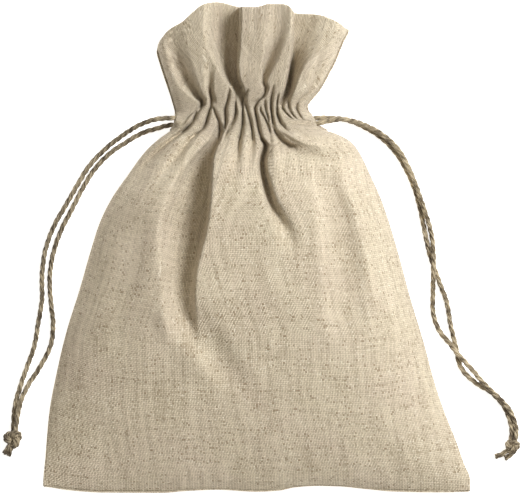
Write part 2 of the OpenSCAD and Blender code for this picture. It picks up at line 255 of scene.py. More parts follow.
def linenFinish(name, look):
    f = Finish(name, Roughness=look["roughness"], Sheen_Weight=0.12, Sheen_Roughness=0.6)
    uv = f.node("UVMap", {"uv_map": "weave"})
    across = f.node("SeparateXYZ", None, {0: uv}, out=0)
    along = f.node("SeparateXYZ", None, {0: uv}, out=1)
    # threads: which one each point is on, and how far across it
    wander = f.noise(uv, 260.0, 2.0)
    warp = across / look["warpPitch"] + (wander - 0.5) * 0.45
    weft = along / look["weftPitch"] + (wander - 0.5) * 0.4
    warpThread, weftThread = f.sum("FLOOR", warp), f.sum("FLOOR", weft)
    warpRound = f.sum("SINE", f.sum("FRACT", warp) * math.pi)
    weftRound = f.sum("SINE", f.sum("FRACT", weft) * math.pi)
    over = f.sum("MODULO", f.sum("ABSOLUTE", warpThread + weftThread), 2.0)
    warpTone = f.noise(f.vector(warpThread * 7.31, weft * 0.055), 1.0, 2.0)
    weftTone = f.noise(f.vector(warp * 0.045, weftThread * 5.17, 9.0), 1.0, 2.0)
    cell = f.node("TexWhiteNoise", {"noise_dimensions": "2D"},
                  {"Vector": f.vector(warpThread, weftThread)}, out=0)
    cloud = f.noise(uv, 38.0, 3.0)
    tone = over * warpTone + (1 - over) * weftTone
    gaps = over * warpRound + (1 - over) * weftRound
    streakX, streakY = look["streakScale"]
    streak = f.noise(f.vector(across * streakX, along * streakY, 2.0), 1.0, 1.0)
    barX, barY = look["barScale"]
    bar = f.noise(f.vector(across * barX, along * barY, 4.0), 1.0, 2.0)
    # painted shade: the holes between threads are darkened, and the gaps and warpRound terms below make
    # thread edges darker than their crowns
    poreShade = (1 - warpRound) * (1 - weftRound) * f.sum("GREATER_THAN", cell, 0.5)
    share = ((tone - 0.5) * look["tone"] + (cell - 0.5) * look["cell"] + (gaps - 0.6) * look["gaps"]
             + (warpRound - 0.6) * look["warp"] + (streak - 0.5) * look["streak"]
             + (bar - 0.5) * look["bar"] + (cloud - 0.5) * look["cloud"] - poreShade * look["poreShade"]
             + look["base"])
    share = f.node("Clamp", None, {0: share})
    colour = f.mix(share, look["dark"], look["light"])
    colour = f.times(colour, look["tint"], f.node("Clamp", None, {0: (cloud - 0.5) * 4.0 + 0.4}))
    huskX, huskY = look["huskScale"]
    husks = f.noise(f.vector(across * huskX, along * huskY, 5.0), 1.0, 1.0)
    # a few bleached cells, dark flecks and bits of husk
    pale = f.sum("GREATER_THAN", cell + (warpTone - 0.5) * 0.25, 0.96) * 0.4
    colour = f.mix(pale, colour, look["bleached"])
    fleck = f.sum("LESS_THAN", cell + (weftTone - 0.5) * 0.3, 0.03) * 0.6
    colour = f.mix(fleck, colour, look["fleck"])
    colour = f.mix(f.sum("GREATER_THAN", husks, 0.70) * 0.7, colour, look["fleck"])
    f.feed("Base Color", colour)
    height = gaps * (0.75 + 0.5 * tone)
    bump = {"Height": height, "Distance": look["bumpDepth"], "Strength": 0.7}
    f.feed("Normal", f.node("Bump", None, bump))
    return f.material


hempLook = {
    "light": (0.45, 0.375, 0.250, 1), "dark": (0.058, 0.039, 0.020, 1), "husk": (0.68, 0.60, 0.45, 1),
    "fibre": 0.00016, "roughness": 0.74,
    "paintedLightShares": {"left": 0.9, "right": 1.12},  # painted light: the left cord is darkened as painted shade of its shadowed side and the right cord lightened, though both are the same hemp
}


def hempFinish(name, look, paintedLight):
    f = Finish(name, Roughness=look["roughness"], Sheen_Weight=0.08)
    uv = f.node("UVMap", {"uv_map": "weave"})
    along = f.node("SeparateXYZ", None, {0: uv}, out=0)
    around = f.node("SeparateXYZ", None, {0: uv}, out=1)
    fibres = f.noise(f.vector(along * 240.0, around / look["fibre"]), 1.0, 3.0)
    patches = f.noise(f.vector(along * 330.0, around * 900.0, 3.0), 1.0, 2.0)
    lengths = f.noise(f.vector(along * 90.0, 0.5, 7.0), 1.0, 1.0)
    share = (fibres - 0.5) * 2.0 + (patches - 0.5) * 3.0 + (lengths - 0.5) * 1.2 + 0.5
    # painted shade and light: both colours are scaled by the factor for the cord's side
    colour = f.mix(f.node("Clamp", None, {0: share}), withPaintedLight(look["dark"], paintedLight),
                   withPaintedLight(look["light"], paintedLight))
    husk = f.sum("GREATER_THAN", fibres + (patches - 0.5) * 0.4, 0.64) * 0.6
    colour = f.mix(husk, colour, withPaintedLight(look["husk"], paintedLight))
    f.feed("Base Color", colour)
    f.feed("Normal", f.node("Bump", None, {"Height": fibres, "Distance": 0.00012, "Strength": 0.8}))
    return f.material


def threadFinish(name):
    f = Finish(name, Roughness=0.8)
    place = f.node("TexCoord", out=3)
    twist = f.noise(place, 2600.0, 2.0)
    f.feed("Base Color", f.mix(twist, (0.42, 0.35, 0.25, 1), (0.62, 0.55, 0.43, 1)))
    f.feed("Normal", f.node("Bump", None, {"Height": twist, "Distance": 0.00008}))
    return f.material


linen = linenFinish("linenWeave", linenLook)
hemp = {side: hempFinish(side + "HempCord", hempLook, paintedLight) for side, paintedLight in hempLook["paintedLightShares"].items()}
thread = threadFinish("sewingThread")
print("materials made")


# camera
view = {"centre": (0.0016, -0.0004), "height": 3.20, "across": 0.1879, "sensor": 36.0}


def makeCamera(v):
    data = bpy.data.cameras.new("overhead")
    data.sensor_width = v["sensor"]
    data.lens = v["sensor"] * v["height"] / v["across"]
    data.clip_end = 20
    camera = bpy.data.objects.new("overhead", data)
    camera.location = (*v["centre"], v["height"])
    bpy.context.scene.collection.objects.link(camera)
    bpy.context.scene.camera = camera


makeCamera(view)


# cords
cord = {"diameter": 2.0, "plies": 3, "plyPitch": 8.4, "ringStep": 0.45, "plySides": 8}

# the same routes as the CAD strands, in mm, from beside the neck to the knot
leftFrontRoute = [(-31.2, 46, 11.6), (-36, 45.6, 10.8), (-42, 43.6, 7.4), (-48, 40, 3), (-54, 35.4, 1),
                  (-60, 29.2, 1), (-64.5, 22, 1), (-68.5, 15, 1), (-73, 7, 1), (-76, -1.5, 1),
                  (-77.2, -10.5, 1), (-77.2, -19, 1), (-78.6, -28, 1), (-80, -36, 1), (-82.8, -44, 1),
                  (-85.2, -51, 1), (-87, -58, 1), (-87.6, -66.6, 1.2)]
leftBackRoute = [(-31.2, 43.6, 2.4), (-36, 42.4, 2.2), (-41.5, 40.6, 1.4), (-47, 37.4, 1),
                 (-52.6, 33.6, 1), (-58.2, 27.8, 1), (-62.6, 20.8, 1), (-66.4, 13.4, 1), (-70.2, 6, 1),
                 (-73, -2, 1), (-74.4, -11, 1), (-74, -20, 1), (-73.2, -28, 1), (-74.2, -36, 1),
                 (-78.4, -44.2, 1), (-82.2, -50, 1.4), (-85, -56.5, 2.6), (-86.8, -66.6, 3.4)]
rightBackRoute = [(19.6, 46, 2.4), (25, 46.2, 2.2), (32, 45.6, 1.4), (38.6, 43, 1), (45, 39, 1),
                  (50.2, 33.6, 1), (54.2, 27, 1), (57, 20.4, 1), (59, 13, 1), (60.6, 5, 1), (62.4, -3, 1),
                  (65.6, -12.4, 1), (68.4, -20, 1), (69.8, -28, 1), (71.6, -35.6, 1), (73.6, -43.6, 1),
                  (78.6, -48.9, 1), (84.8, -52.8, 1), (89.4, -58.2, 1), (91.7, -65, 1), (91.6, -69.6, 1.2)]
rightFrontRoute = [(19.6, 43.6, 11.6), (24.6, 44.7, 11.2), (31, 45.7, 8.4), (38.2, 43.9, 4.6),
                   (45.3, 40.2, 2.7), (51, 34.8, 2.7), (55, 27.6, 2.9), (57.8, 20.6, 3), (60.4, 13, 2.8),
                   (62.8, 5, 1.4), (63.6, -2.5, 2.8), (63.6, -9, 3.2), (63.5, -17, 1.3), (63.6, -24, 1),
                   (65.6, -30, 1), (69, -34.4, 2.2), (73, -39.4, 3.2), (77.2, -44, 3), (82, -49.6, 2.8),
                   (86.6, -54, 3), (91, -58.8, 2), (93.3, -65, 1.5), (93.1, -69.6, 2.6)]
knotAt = {"left": (-87.6, -69.2, 2.95), "right": (92, -72, 2.95)}


def twisted(line, look, start=0.0, fray=0.0):
    # plies wound round a line; fray spreads the plies towards the last few mm
    ahead, right, up = frames(line)
    walked = np.concatenate([[0], np.cumsum(np.linalg.norm(np.diff(line, axis=0), axis=1))])
    plyRadius = look["diameter"] * 0.25
    reach = np.full(len(line), look["diameter"] / 2 - plyRadius * 1.1)
    if fray:
        reach = reach * (1 + fray * np.clip((walked - walked[-1] + 2.2) / 2.2, 0, 1) ** 1.5)
    parts = []
    for p in range(look["plies"]):
        angle = 2 * math.pi * (walked / look["plyPitch"] + p / look["plies"]) + start
        ply = line + reach[:, None] * (np.cos(angle)[:, None] * right + np.sin(angle)[:, None] * up)
        swell = plyRadius * (1 + 0.06 * np.sin(walked * 1.7 + p * 2.1) + 0.04 * np.sin(walked * 4.3 + p))
        parts.append(tubeParts(ply, swell, look["plySides"]))
    return joined(parts)


def cordPiece(name, lead, route, into, look, start, replaced):
    # the strand runs on into its knot
    last = route[-1]
    end = [(last[0] + (into[0] - last[0]) * 0.7, last[1] + (into[1] - last[1]) * 0.7, into[2])]
    line = curvedRoute(lead + route + end, look["ringStep"])
    points, faces, uvs = twisted(line, look, start)
    piece = meshPiece(name, points, faces, uvs, hemp[name.split("_")[0]])
    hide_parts(*replaced)
    direction = 1 if lead[0][0] < route[0][0] else -1
    exitX = route[0][0] - 0.8 * direction
    exitX * mm
    (exitX + 9 * direction) * mm
    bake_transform(piece)
    tuple(c * mm for c in route[0])
    round(routeLength(line) * mm, 3)
    print(name, "length", round(routeLength(line), 1), "mm")
    return piece


knots = {"left": {"size": 0.76, "strand": 2.0, "apart": 1.0, "rise": 0.9, "turn": 12},
         "right": {"size": 0.60, "strand": 1.75, "apart": 0.86, "rise": 0.95, "turn": -8}}
knotSteps, tightStep = 120, 0.3  # points round a knot, and mm between rings in knots and tails


def overhand(centre, look):
    # a tight overhand knot: a line that crosses over and under itself three times
    t = np.linspace(0.045, 0.955, knotSteps) * 2 * math.pi
    x = np.sin(t) + 2 * np.sin(2 * t)
    y = np.cos(t) - 2 * np.cos(2 * t)
    z = -np.sin(3 * t) * look["rise"] / look["size"]
    shape = np.stack([x, y, z], axis=1) * look["size"]
    c, s = math.cos(math.radians(look["turn"])), math.sin(math.radians(look["turn"]))
    return shape @ np.array([[c, s, 0], [-s, c, 0], [0, 0, 1]]) + np.array(centre)


def knotPiece(side, look):
    # both strands of a pair run through the knot side by side
    line = curvedRoute(overhand(knotAt[side], look).tolist(), tightStep)
    ahead = np.gradient(line, axis=0)
    outward = np.cross(ahead, [0, 0, 1.0])
    outward /= np.linalg.norm(outward, axis=1)[:, None]
    strand = dict(cord, diameter=look["strand"], plyPitch=6.0)
    parts = [twisted(line + outward * shift * look["apart"] + [0, 0, 0.25 * shift], strand, start=shift)
             for shift in (-0.5, 0.5)]
    piece = meshPiece(side + "_overhand_knot", *joined(parts), hemp[side])
    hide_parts(side + "_knot")
    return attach(piece, side + "_end")


tailRoutes = {
    "left": [[(-88.2, -70, 2.8), (-89.2, -72.2, 2), (-90.2, -73.6, 1.3), (-90.7, -74.6, 1)],
             [(-87.4, -70.2, 3.2), (-88.2, -72.6, 2.2), (-88.9, -74.2, 1.3), (-89.4, -75.2, 1)]],
    "right": [[(91, -72.6, 2.8), (89.6, -74, 1.9), (87.8, -75, 1.3), (86, -75.6, 1)],
              [(92.2, -73.2, 2.4), (91.7, -74.6, 1.6), (90.7, -75.6, 1.1), (89.4, -76.2, 1)]],
}


def tailPiece(side):
    parts = [twisted(curvedRoute(route, tightStep), cord, start=1.3 * k, fray=0.35)
             for k, route in enumerate(tailRoutes[side])]
    piece = meshPiece(side + "_cord_tails_twisted", *joined(parts), hemp[side])
    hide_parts(side + "_cord_tails")
    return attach(piece, side + "_end")


leftKnot, rightKnot = knotPiece("left", knots["left"]), knotPiece("right", knots["right"])
leftTails, rightTails = tailPiece("left"), tailPiece("right")
# each lead's points: mm into the channel, and height from the neck's axis as a share of the exit's
neckAxis = 7.0
channelDip = [(14.0, 0.12), (8.0, 0.16), (3.6, 0.6), (1.4, 0.93)]
for side, place, route, draw, end, start in [
        ("left", "front", leftFrontRoute, "left_draw", "left_end", 0.4),
        ("left", "back", leftBackRoute, "left_draw", "left_end", 1.7),
        ("right", "back", rightBackRoute, "right_draw", "right_end", 0.9),
        ("right", "front", rightFrontRoute, "right_draw", "right_end", 2.4)]:
    inward = 1 if side == "left" else -1
    lead = [(route[0][0] + inward * along, route[0][1], neckAxis + (route[0][2] - neckAxis) * share)
            for along, share in channelDip]
    replaced = [f"{side}_cord_{place}_lead", f"{side}_cord_{place}_strand"]
    cordPiece(f"{side}_cord_{place}", lead, route, knotAt[side], cord, start, replaced)


loop = {"half": 0.55, "bendPoints": 7, "ringStep": 0.9}


def channelLoop(side, frontY, backY, look):
    # the stretch that stays in the channel, round the far side seam
    low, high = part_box(side + "_cord_loop")
    near, far = (high.x / mm, low.x / mm) if side == "right" else (low.x / mm, high.x / mm)
    half, mid = look["half"], neckAxis
    outward = 1 if far > near else -1
    radius = math.hypot(frontY - backY, 2 * half) / 2
    turn = far - outward * (radius + 1)
    bend = [(turn + outward * radius * math.sin(a), frontY + (backY - frontY) * (1 - math.cos(a)) / 2,
             mid + half * math.cos(a)) for a in np.linspace(0, math.pi, look["bendPoints"])]
    route = [(near, frontY, mid + half), *bend, (near, backY, mid - half)]
    line = curvedRoute(route, look["ringStep"])
    piece = meshPiece(side + "_cord_in_channel", *twisted(line, cord), hemp[side])
    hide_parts(side + "_cord_loop")
    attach(piece, "pouch")


channelLoop("left", 46, 43.6, loop)
channelLoop("right", 43.6, 46, loop)
print("cords, knots and tails made")


# the pouch's cloth
# outline of the sewn pouch, (y, x) down each side, in mm
leftEdge = [(-86.2, -76.8), (-76, -76), (-60, -74.6), (-44, -71.6), (-30, -68.2), (-16, -63.8), (0, -59.2),
            (9, -56.2), (17, -52.2), (25.4, -46.4), (34, -40), (38.4, -35.2), (41.5, -31), (43.8, -29.4),
            (47.7, -28.9), (52, -29.9), (60, -32.5), (66, -34.4), (70.5, -35.5), (76, -34.8)]
rightEdge = [(-88, 76.9), (-84, 76.9), (-78, 74.6), (-70, 71.8), (-61, 68.2), (-52, 65), (-43.7, 62.6),
             (-35, 60.3), (-18, 55.2), (0, 50.3), (17, 44.8), (25.4, 41), (34, 36.8), (37.4, 34),
             (39.4, 30.6), (41.3, 25.8), (43.5, 21.8), (46.5, 20), (50, 17.8), (52, 18.9), (56.3, 22.5),
             (60.7, 25), (67, 28.2), (73.6, 30.8), (78, 32.8)]
# bottom seam and the header's folded top edge, (x, y)
bottomEdge = [(-77, -86.2), (-68, -87.4), (-55, -88.3), (-34, -88.4), (-25, -87.7), (-14, -87.3), (0, -88),
              (8, -87.6), (14, -86.4), (22, -85.9), (30, -86.1), (39, -87), (51, -88), (66, -88.2),
              (77, -88)]
topEdge = [(-35.3, 70), (-35.1, 72), (-34.6, 73.8), (-33.2, 76), (-31, 77.8), (-27, 80), (-25, 81.8),
           (-22.8, 83.8), (-20.5, 85.6), (-18, 86.6), (-14.5, 87.1), (-12, 86.8), (-9, 86), (-5.6, 85.3),
           (-0.5, 85.2), (1.5, 85.6), (4, 86.3), (9, 86.3), (11.2, 85.7), (12.4, 84.6), (13.2, 83.3),
           (17, 82.9), (21, 82.7), (24, 82.1), (27, 80.9), (30, 79.3), (32.8, 77.5)]

# (y, value) of the front's form: seam height, crown above the seam, and how square the section is
form = {
    "seam": [(-88.4, 1.4), (-60, 1.9), (0, 3.6), (30, 5.6), (40, 7), (88.4, 7.4)],
    "crown": [(-88.4, 1), (-85, 4), (-79, 8), (-70, 12.2), (-60, 15.8), (-40, 21.2), (-20, 24.8), (0, 26),
              (14, 25.2), (26, 20.8), (34, 15.3), (40, 10), (44, 7.6), (49, 7.4), (56, 9.6), (64, 11.6),
              (75, 12.8), (88.4, 13)],
    "square": [(-88.4, 3), (-40, 3.4), (0, 3.6), (30, 3.7), (41, 6), (50, 6), (60, 4), (88.4, 3.6)],
    "root": [(-88.4, 0.7), (0, 0.74), (30, 0.64), (41, 0.42), (50, 0.42), (60, 0.5), (88.4, 0.5)],
}
# where the side seam is left open and the cords come out: height of the upper and lower lip
cordSlit = {"y": 44.9, "reach": 3.4, "frontLip": 13.0, "backLip": 1.1}

# Folds of the front. Each station is (x, y, depth, width to the left, width to the right).
# Broad folds add up, and a flat above 1 keeps their floor wide; pleats cut as deep as the deepest.
broadFolds = {
    "bigValley": (1.9, [(-12.6, 44, 3, 2.5, 1.4), (-13.9, 38.3, 6.6, 3.4, 1.5), (-16.2, 34, 10, 5.4, 1.6),
                        (-17.2, 29, 12.8, 9, 1.7), (-17.7, 22, 14, 13, 1.8), (-18.2, 15, 14.2, 15.5, 1.9),
                        (-19.3, 7, 14, 16.5, 2), (-21.2, 0, 13, 14.5, 2.2), (-23.6, -8, 11, 11.5, 2.6),
                        (-24.8, -16, 8.2, 9.4, 3.2), (-25.4, -24, 4.8, 8, 4.2), (-25.4, -32, 2, 7, 5.4),
                        (-25, -41, 0, 7, 6)]),
    "lowerSlack": (1.2, [(-24, -18, 0, 7, 8), (-21.4, -26, 1.4, 7, 9), (-17, -34, 2.1, 8, 9),
                         (-12.4, -42, 1.9, 8, 9), (-8, -49, 1, 9, 9), (-4, -57, 0, 9, 9)]),
    "lowerRidge": (1.2, [(-36, -14, 0, 6, 6), (-33.6, -22, -0.9, 6, 6), (-29, -32, -1.4, 7, 6),
                         (-23, -42, -1, 7, 7), (-18, -52, 0, 8, 8)]),
    "narrowValley": (1.0, [(1.6, 39.5, 2.4, 1.2, 1.2), (3.4, 36, 7.6, 1.9, 1.4), (2, 30.4, 9.4, 2.3, 2.2),
                           (2.9, 25, 9.6, 2.6, 2), (4, 20, 8.8, 2.6, 2.4), (5.4, 15.6, 7, 3, 2.8),
                           (8, 11, 4.6, 3.8, 3.4), (10.8, 5, 2.4, 5, 4.2), (12.6, -3, 0, 5, 5)]),
    "leftShoulder": (1.0, [(-24.6, 43.6, 2, 2, 1.8), (-29.6, 39.2, 5, 2, 2.6),
                           (-34.6, 35.2, 5.4, 2.4, 3.8), (-40, 29.4, 4.4, 3, 4.8),
                           (-44.6, 22, 2.6, 4, 5.6), (-49, 12, 0, 4, 6)]),
    "secondShoulder": (1.0, [(-21.4, 41.4, 2, 1.6, 1.6), (-23.8, 38.4, 2.8, 2, 2.4),
                             (-28, 33, 2.2, 2.6, 3.2), (-33, 26, 1, 3, 4), (-36, 20, 0, 3, 4)]),
    "centreCrease": (1.0, [(-6.4, 40, 1, 1.4, 1.4), (-6.9, 36, 2.4, 2.2, 2.2), (-7.4, 31, 1.8, 2.8, 3),
                           (-8, 25, 0.8, 3.4, 3.6), (-8.4, 19, 0, 4, 4)]),
    "centreCrease2": (1.0, [(-1.6, 41, 1, 1.4, 1.2), (-1.6, 37, 2.2, 2, 1.8), (-2.2, 32, 1.4, 2.6, 2.4),
                            (-2.8, 26, 0, 3, 3)]),
    "pocket": (1.0, [(6.8, 42.5, 0, 1.2, 1.6), (7.6, 40, 2.8, 1.4, 2), (9.8, 37.4, 5.2, 2, 2.6),
                     (13, 35.4, 5.2, 3.4, 5), (17.4, 33.6, 3.6, 7, 8), (22.4, 32, 1.8, 10, 10),
                     (27.4, 30, 0.8, 12, 10), (30, 27, 0, 12, 10)]),
    "pocketLip": (1.3, [(9.4, 42.4, 0, 2, 2), (11.6, 40.4, -1.8, 2.6, 3.4), (15, 38.2, -2.3, 3.4, 5),
                        (19.6, 36.2, -1.5, 5, 6), (25, 34.2, 0, 6, 7)]),
    "valleyLobe": (1.3, [(6.4, 42.6, 0, 1.4, 1.6), (6.2, 39.6, -1, 1.6, 1.8), (6.6, 36.6, -1.8, 1.8, 2),
                         (6.4, 33, -1.4, 1.8, 2.2), (7, 28, -0.8, 2, 3), (9, 20, 0, 3, 4)]),
    "rightSlack": (1.2, [(23, 31, 0, 6, 6), (25.4, 23, 2, 7, 7), (27.6, 12, 3.4, 7.5, 8),
                         (29.4, 0, 3.8, 8, 9), (30.6, -12, 3.2, 8, 10), (31.4, -24, 1.9, 9, 10),
                         (32, -38, 0, 10, 10)]),
    "rightRidge": (1.2, [(30, 26, 0, 6, 6), (37, 14, -1, 6, 6), (41, 0, -1.4, 7, 7), (44, -16, -1, 8, 8),
                         (46, -34, 0, 8, 8)]),
    "leftSlack": (1.0, [(-40, 14, 0, 6, 6), (-43, 4, 1.2, 8, 7), (-46, -12, 1.5, 9, 8),
                        (-49, -30, 1.1, 10, 9), (-52, -48, 0, 10, 9)]),
    "headerValley": (2.1, [(-6.4, 89, 9.4, 12.6, 1.2), (-6.6, 79, 11, 13, 1.2), (-7, 70.7, 11.8, 11, 1.2),
                           (-7.4, 64.6, 11.6, 7.4, 1.2), (-6.9, 59.9, 10.2, 5.2, 1.2),
                           (-5.2, 55.6, 7, 3.6, 1.2), (-5, 51.6, 3.6, 2.2, 1), (-5, 48, 0, 1.6, 1)]),
    "headerSlack": (1.0, [(-30.4, 80, 0.8, 5, 6), (-29.8, 72.2, 3.4, 5, 6), (-28.3, 66.7, 4.6, 5.4, 5.4),
                          (-24, 58.6, 5.6, 5.4, 3.6), (-20.8, 53.6, 5.4, 3.4, 2.2), (-19.3, 51, 3, 2, 1.5),
                          (-20.4, 49, 0, 2, 1.6)]),
    "headerSoft": (1.0, [(8.8, 89, 1, 6, 4.4), (8.2, 80, 2.8, 6, 4.4), (6.8, 74, 4.2, 4.6, 4.6),
                         (4.6, 68, 5.8, 2.4, 4.4), (2.6, 62.4, 6.6, 1.6, 3.4), (2.3, 59.4, 5, 1.4, 2),
                         (3.4, 56.4, 2.2, 1.4, 1.4), (3, 54, 0, 1.4, 1.4)]),
    "headerGap": (1.0, [(13.5, 89, 7.4, 1, 19), (13.4, 80, 8, 1, 17), (13.1, 73, 9, 1.1, 12),
                        (12.2, 65.6, 11, 1.2, 6.4), (11.2, 59.6, 11.6, 1.3, 4.2), (9.8, 54, 9, 1.4, 3.4),
                        (8.8, 51.2, 5, 1.2, 2.4), (8.4, 49, 0, 1, 1.2)]),
    "gapFloor": (1.8, [(14, 72, 0, 2, 1.4), (13.2, 65, 2, 2.2, 1.4), (12.6, 58, 2.4, 2.2, 1.4),
                       (11.4, 53, 1.4, 1.8, 1.4), (10.6, 50, 0, 1.4, 1.4)]),
    "leftRidge": (1.0, [(-15.6, 70, 0, 3, 3), (-16.8, 62, 1.6, 2.4, 2.2), (-16.6, 56, 2.8, 1.9, 1.6),
                        (-15.6, 52, 2, 1.6, 1.6), (-15.6, 50, 0, 1.4, 1.4)]),
    "rightLobe": (1.0, [(24, 74, 0, 4, 4), (21.4, 62, 1.6, 3, 3.4), (19, 56, 2.4, 2.2, 2.8),
                        (16.4, 52.6, 1.6, 1.6, 2), (15, 50.4, 0, 1.4, 1.6)]),
}
pleats = {
    "a": [(-19, 54, 2, 2, 1.8), (-19.3, 51.2, 4.6, 2.2, 1.7), (-21.5, 48, 5, 2.4, 2),
          (-22.7, 45.2, 5, 2.4, 2), (-25.4, 42, 4.4, 2.4, 2), (-28.6, 39.6, 1.6, 2.2, 2.2),
          (-31, 38, 0, 2, 2)],
    "a2": [(-20.6, 50.6, 0, 1.2, 1), (-21.6, 48.8, 2.6, 1, 0.9), (-24.2, 46.6, 2.6, 1, 1),
           (-26.2, 44, 1.8, 1, 1), (-28, 42, 0, 1, 1)],
    "b": [(-16.6, 57, 1.6, 1.4, 1.4), (-16.3, 50.6, 4.6, 1.6, 1.2), (-17.2, 47.6, 5, 1.9, 1.4),
          (-18, 44.9, 5, 1.9, 1.7), (-19.2, 42.4, 4.6, 2, 2), (-21.6, 40, 2.4, 2, 2), (-23.4, 38, 0, 2, 2)],
    "c": [(-15.7, 50.6, 1.6, 0.9, 1.2), (-14.8, 47.6, 4, 1.1, 1.5), (-13.7, 45.2, 4.6, 1.5, 1.4),
          (-13.1, 43, 4.8, 1.7, 1.2), (-13.3, 40, 3.4, 1.8, 1), (-13.7, 37.6, 0, 1.8, 1)],
    "d": [(-9.6, 58, 1, 1.4, 1.2), (-10.3, 52.6, 4, 1.6, 1.3), (-11.3, 48.8, 5, 1.7, 1.7),
          (-11.2, 45, 5, 1.3, 1.6), (-11.5, 42.2, 4, 1, 1.3), (-12.6, 39.4, 0, 1, 1.4)],
    "e": [(-7.6, 59, 1, 1, 0.9), (-7.4, 51.4, 4.6, 1.5, 1.1), (-7.4, 48.6, 5, 1.9, 1.3),
          (-8, 45.8, 5, 1.6, 1.5), (-9.5, 43, 4.4, 1.2, 1.9), (-11, 40, 2.8, 1.2, 2.3),
          (-12, 36.6, 0, 1.2, 2)],
    "f": [(-5.1, 52.8, 1.4, 1, 0.8), (-4.9, 49.2, 4.6, 1.3, 0.7), (-4.9, 45.2, 5.2, 1.5, 1.2),
          (-5.3, 42.3, 5.2, 1.9, 1.7), (-6, 38.4, 4.4, 2, 2), (-6.5, 34, 2.2, 2, 2), (-6.8, 30, 0, 2, 2)],
    "g": [(-3.3, 56.6, 2, 1, 1.5), (-4.4, 52.8, 4.4, 0.9, 1.7), (-3.7, 49.4, 5, 0.7, 1.6),
          (-2.4, 45.4, 5, 1.2, 1.3), (-1.7, 41.8, 4.4, 1.7, 1.2), (-1.4, 39, 2.4, 2, 1.2),
          (-1.2, 36.4, 0, 2, 1.2)],
    "h": [(3.8, 57.8, 1.4, 1.5, 1), (3.5, 56, 3.8, 1.8, 1.1), (2.5, 53.6, 4.8, 2, 1.1),
          (0.3, 51.8, 5, 1.8, 1.2), (-0.5, 49.4, 5, 1.6, 1.1), (0.1, 45.4, 5.4, 1.3, 1.5),
          (0.8, 41.4, 5.4, 1.2, 1.7), (2, 38, 3.4, 1.4, 1.4), (2.8, 36, 0, 1.4, 1.4)],
    "i": [(1.4, 50.4, 1, 0.8, 0.8), (1.5, 48.8, 3.6, 1, 0.9), (2.7, 46.6, 4.2, 1.2, 0.8),
          (3.9, 44.2, 4.2, 1.5, 0.9), (4.6, 42, 3.8, 1.7, 1), (5, 39.4, 0, 1.6, 1)],
    "j": [(2.9, 53, 1.2, 1, 1), (3.2, 49.6, 4.2, 0.9, 1), (3.8, 47, 4, 0.7, 0.9), (4.3, 45, 2, 0.6, 0.7),
          (4.6, 43.6, 0, 0.6, 0.7)],
    "k": [(6, 58.4, 1, 1.3, 1.5), (5.2, 52.6, 4.6, 1.2, 1.3), (5.1, 49.8, 5, 1, 1.2),
          (5.5, 46.8, 5, 0.9, 1.2), (5.9, 43.3, 4.8, 0.8, 1.6), (6.7, 40.6, 3.4, 1.2, 2.2),
          (7.8, 38.4, 1.4, 1.4, 2.2), (8.6, 37, 0, 1.6, 2.2)],
    "l": [(7.8, 55, 1.4, 1.4, 0.9), (7.4, 50.6, 4.6, 1.2, 0.8), (7.4, 48.2, 4.8, 1.2, 1),
          (8.2, 45.2, 4.6, 1.5, 1.7), (9.8, 42.6, 3, 2.2, 2.4), (12, 40.6, 1.2, 2.6, 2.8),
          (14, 39, 0, 3, 3)],
    "m": [(9.4, 51.8, 2.4, 0.9, 1), (9.1, 49.9, 4.4, 0.8, 1), (10.5, 48, 4, 1, 0.8),
          (12.2, 46.2, 2.2, 1.4, 0.9), (14.4, 44.6, 0, 1.6, 1)],
    "n": [(11.2, 53, 2.4, 0.8, 1.4), (11.5, 49.6, 4.4, 1, 1.5), (12.6, 47.6, 3.6, 0.8, 1.3),
          (14, 46, 1.8, 0.9, 1), (16, 44.6, 0, 1, 1)],
    "o": [(19.6, 56.6, 0, 3, 3.4), (16.8, 54, 2, 2.4, 2.6), (14.8, 51.8, 3.8, 1.8, 1.8),
          (14.3, 49.8, 4.6, 1.5, 1.6), (14.9, 47.8, 4, 1.2, 1.4), (16.2, 45.8, 1.8, 1, 1.2),
          (17.6, 44.4, 0, 1, 1.2)],
}

cloth = {"flatWidth": 155.0, "columns": 224, "foldRows": 6, "facingRows": 20, "thickness": 0.45,
         "hemRadius": 0.85, "facingEnd": 41.6, "ripple": 0.22, "pleatDepth": 1.17,
         "bodyRows": 64, "neckRows": 68, "headerRows": 48, "neckLine": 36.0, "headerLine": 57.0,
         "foldFade": 1.8,   # mm over which a fold starts and stops
         "rimWidth": 1.1,   # mm over which the form rises at the bottom seam
         "flatShare": 0.1}  # how far a gathered row is stretched back to the flat width
wrinkles = [(0.085, 3.0, 1.0), (0.21, 8.0, 0.5)]  # scale, seed and share


def foldDrop(x, y, stations, flat=0.0):
    # how deep one fold cuts at each point; with no flat the ridge is round and the valley sharp
    line = smooth([(s[1], s[0]) for s in stations], y)
    depth = smooth([(s[1], s[2]) for s in stations], y)
    left = smooth([(s[1], s[3]) for s in stations], y)
    right = smooth([(s[1], s[4]) for s in stations], y)
    away = x - line
    share = np.clip(np.where(away < 0, -away / left, away / right), 0, 1)
    if flat:
        share = share ** flat
        cut = (1 - share) ** 2 * (1 + 2 * share)
    else:
        cut = 1 - np.sqrt(np.clip(1 - (1 - share) ** 2, 0, 1))
    ends = [s[1] for s in stations]
    near = np.clip(np.minimum(max(ends) + 0.4 - y, y - min(ends)) / cloth["foldFade"], 0, 1)
    return depth * cut * near * near * (3 - 2 * near)


def rippleAt(x, y, scale, seed):
    flat = [noise.noise(Vector((a * scale, b * scale, seed))) for a, b in zip(x.ravel(), y.ravel())]
    return np.array(flat).reshape(x.shape)


def lipHeight(y, lip):
    # height of a cloth's side edge: on the seam, or lifted round the cords where the seam is open
    base = smooth(form["seam"], y)
    open_ = np.clip(1 - np.abs(y - cordSlit["y"]) / cordSlit["reach"], 0, 1)
    return base + (lip - base) * np.sin(open_ * math.pi / 2) ** 1.5


